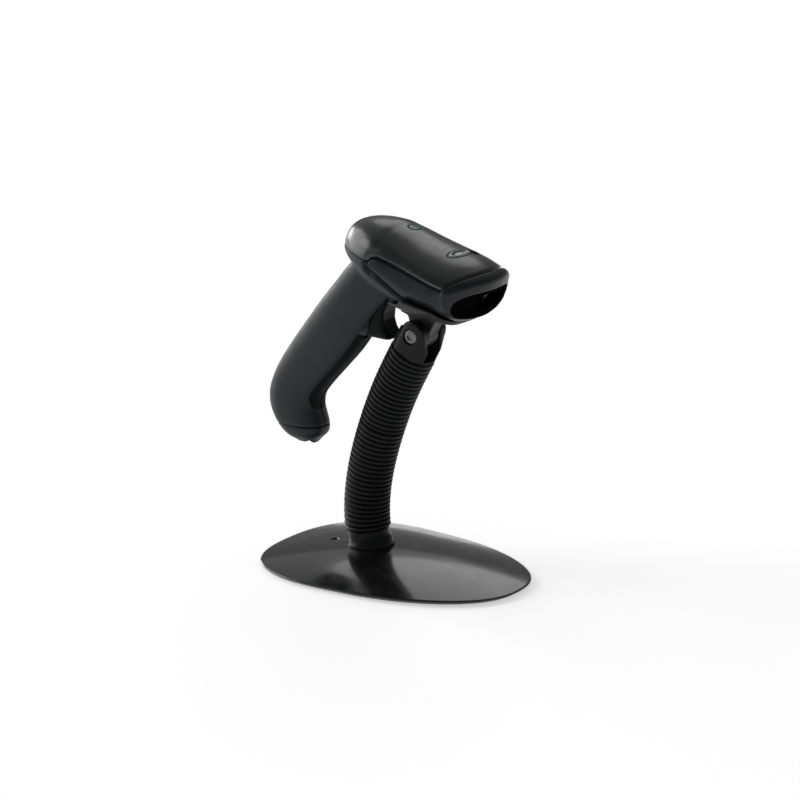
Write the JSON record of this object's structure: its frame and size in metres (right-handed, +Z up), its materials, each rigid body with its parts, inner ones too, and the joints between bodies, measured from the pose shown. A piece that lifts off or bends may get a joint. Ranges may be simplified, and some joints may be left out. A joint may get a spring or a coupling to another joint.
{
  "type": "handheld barcode scanner on a gooseneck stand",
  "caption": "Gun-style handheld barcode scanner with a sprung trigger, resting in a tilting cradle on a ribbed gooseneck over a heavy egg-shaped base.",
  "frame": {"origin": "middle of the base, on the table", "axes": "+Z up, +X the way the scanner points, +Y the scanner's left"},
  "size_m": [0.1894, 0.1304, 0.2261],
  "materials": {
    "shell_plastic": "fine satin moulded texture",
    "bezel_plastic": "satin moulded",
    "base_plastic": "polished moulded",
    "neck_sleeve": "ribbed semi-matt",
    "rubber": "matt",
    "steel": "zinc plated",
    "cast_weight": "raw",
    "brass": "turned",
    "window_glass": "dark red tinted filter",
    "lens_clear": "translucent clear plastic",
    "inlay_teal": "printed inlay",
    "circuit_board": "solder resist",
    "black_plastic": "as moulded",
    "mirror_coat": "front surface mirror"
  },
  "bodies": {
    "stand_base": {"base_cover": "base_plastic", "base_bottom_plate": "black_plastic", "base_weight": "cast_weight", "rubber_foot_pad": "rubber", "base_screw_1": "steel", "base_screw_2": "steel", "base_screw_3": "steel", "base_screw_4": "steel", "neck_collar": "neck_sleeve", "neck_stub": "steel", "neck_nut": "steel"},
    "link_1": {"neck_sleeve_1": "neck_sleeve", "neck_core_1": "steel"},
    "link_2": {"neck_sleeve_2": "neck_sleeve", "neck_core_2": "steel"},
    "link_3": {"neck_sleeve_3": "neck_sleeve", "neck_core_3": "steel"},
    "link_4": {"neck_sleeve_4": "neck_sleeve", "neck_core_4": "steel"},
    "link_5": {"neck_sleeve_5": "neck_sleeve", "neck_core_5": "steel"},
    "link_6": {"neck_sleeve_6": "neck_sleeve", "neck_core_6": "steel"},
    "link_7": {"neck_sleeve_7": "neck_sleeve", "neck_core_7": "steel"},
    "neck_head": {"hinge_fork": "neck_sleeve", "neck_ferrule": "steel", "hinge_bolt": "steel", "hinge_nut": "steel", "hinge_washer_right": "brass", "hinge_washer_left": "brass"},
    "cradle": {"cradle_cup": "bezel_plastic"},
    "scanner": {"nose_bezel": "bezel_plastic", "window_gasket": "rubber", "scan_window": "window_glass", "trigger_pin": "steel", "trigger_spring": "steel", "trigger_switch": "black_plastic", "top_cover": "shell_plastic", "indicator_lens": "lens_clear", "badge_inlay": "inlay_teal", "right_housing": "shell_plastic", "left_housing": "shell_plastic", "housing_screw_1": "steel", "housing_screw_2": "steel", "housing_screw_3": "steel", "butt_cap": "shell_plastic", "jack_socket": "black_plastic", "engine_chassis": "black_plastic", "main_board": "circuit_board", "beeper": "black_plastic", "indicator_led": "lens_clear", "laser_module": "brass", "collector_mirror": "mirror_coat", "photodiode": "black_plastic"},
    "trigger": {"trigger": "shell_plastic"},
    "scan_mirror": {"scan_mirror": "mirror_coat"}
  },
  "joints": [
    {"name": "neck_bend_1", "type": "hinge", "parent": "stand_base", "child": "link_1", "pos_m": [-0.0251, 0, 0.02332], "axis": [0, 1, 0], "range_deg": [-5, 6]},
    {"name": "neck_sway_1", "type": "hinge", "parent": "link_1", "child": "link_2", "pos_m": [-0.02566, 0, 0.04129], "axis": [0.9978, 0, -0.067], "range_deg": [-6, 6]},
    {"name": "neck_bend_2", "type": "hinge", "parent": "link_2", "child": "link_3", "pos_m": [-0.02329, 0, 0.05914], "axis": [0, 1, 0], "range_deg": [-5, 6]},
    {"name": "neck_sway_2", "type": "hinge", "parent": "link_3", "child": "link_4", "pos_m": [-0.01896, 0, 0.07662], "axis": [0.9591, 0, -0.2831], "range_deg": [-6, 6]},
    {"name": "neck_bend_3", "type": "hinge", "parent": "link_4", "child": "link_5", "pos_m": [-0.01335, 0, 0.09374], "axis": [0, 1, 0], "range_deg": [-5, 6]},
    {"name": "neck_sway_3", "type": "hinge", "parent": "link_5", "child": "link_6", "pos_m": [-0.00671, 0, 0.11049], "axis": [0.9183, 0, -0.3959], "range_deg": [-6, 6]},
    {"name": "neck_bend_4", "type": "hinge", "parent": "link_6", "child": "link_7", "pos_m": [0.00104, 0, 0.12675], "axis": [0, 1, 0], "range_deg": [-5, 6]},
    {"name": "neck_sway_4", "type": "hinge", "parent": "link_7", "child": "neck_head", "pos_m": [0.0096, 0, 0.1426], "axis": [0.8773, 0, -0.48], "range_deg": [-6, 6]},
    {"name": "cradle_tilt", "type": "hinge", "parent": "neck_head", "child": "cradle", "pos_m": [0.0166, 0, 0.1564], "axis": [0, 1, 0], "range_deg": [-2, 35]},
    {"name": "scanner_lift_off", "type": "slide", "parent": "cradle", "child": "scanner", "axis": [0.1908, 0, 0.9816], "range_m": [0, 0.07]},
    {"name": "trigger_pull", "type": "hinge", "parent": "scanner", "child": "trigger", "pos_m": [-0.0086, 0, 0.1802], "axis": [0, 1, 0], "range_deg": [0, 6], "stiffness_Nm_per_rad": 0.1, "springref_deg": -11.46},
    {"name": "mirror_scan", "type": "hinge", "parent": "scanner", "child": "scan_mirror", "pos_m": [0.024, -0.005, 0.19019], "axis": [0.1908, 0, 0.9816], "range_deg": [-8, 8], "stiffness_Nm_per_rad": 0.00002}
  ],
  "couplings": [
    {"joint": "neck_bend_2", "follows": "neck_bend_1", "ratio": 1},
    {"joint": "neck_sway_2", "follows": "neck_sway_1", "ratio": 1},
    {"joint": "neck_bend_3", "follows": "neck_bend_1", "ratio": 1},
    {"joint": "neck_sway_3", "follows": "neck_sway_1", "ratio": 1},
    {"joint": "neck_bend_4", "follows": "neck_bend_1", "ratio": 1},
    {"joint": "neck_sway_4", "follows": "neck_sway_1", "ratio": 1}
  ]
}
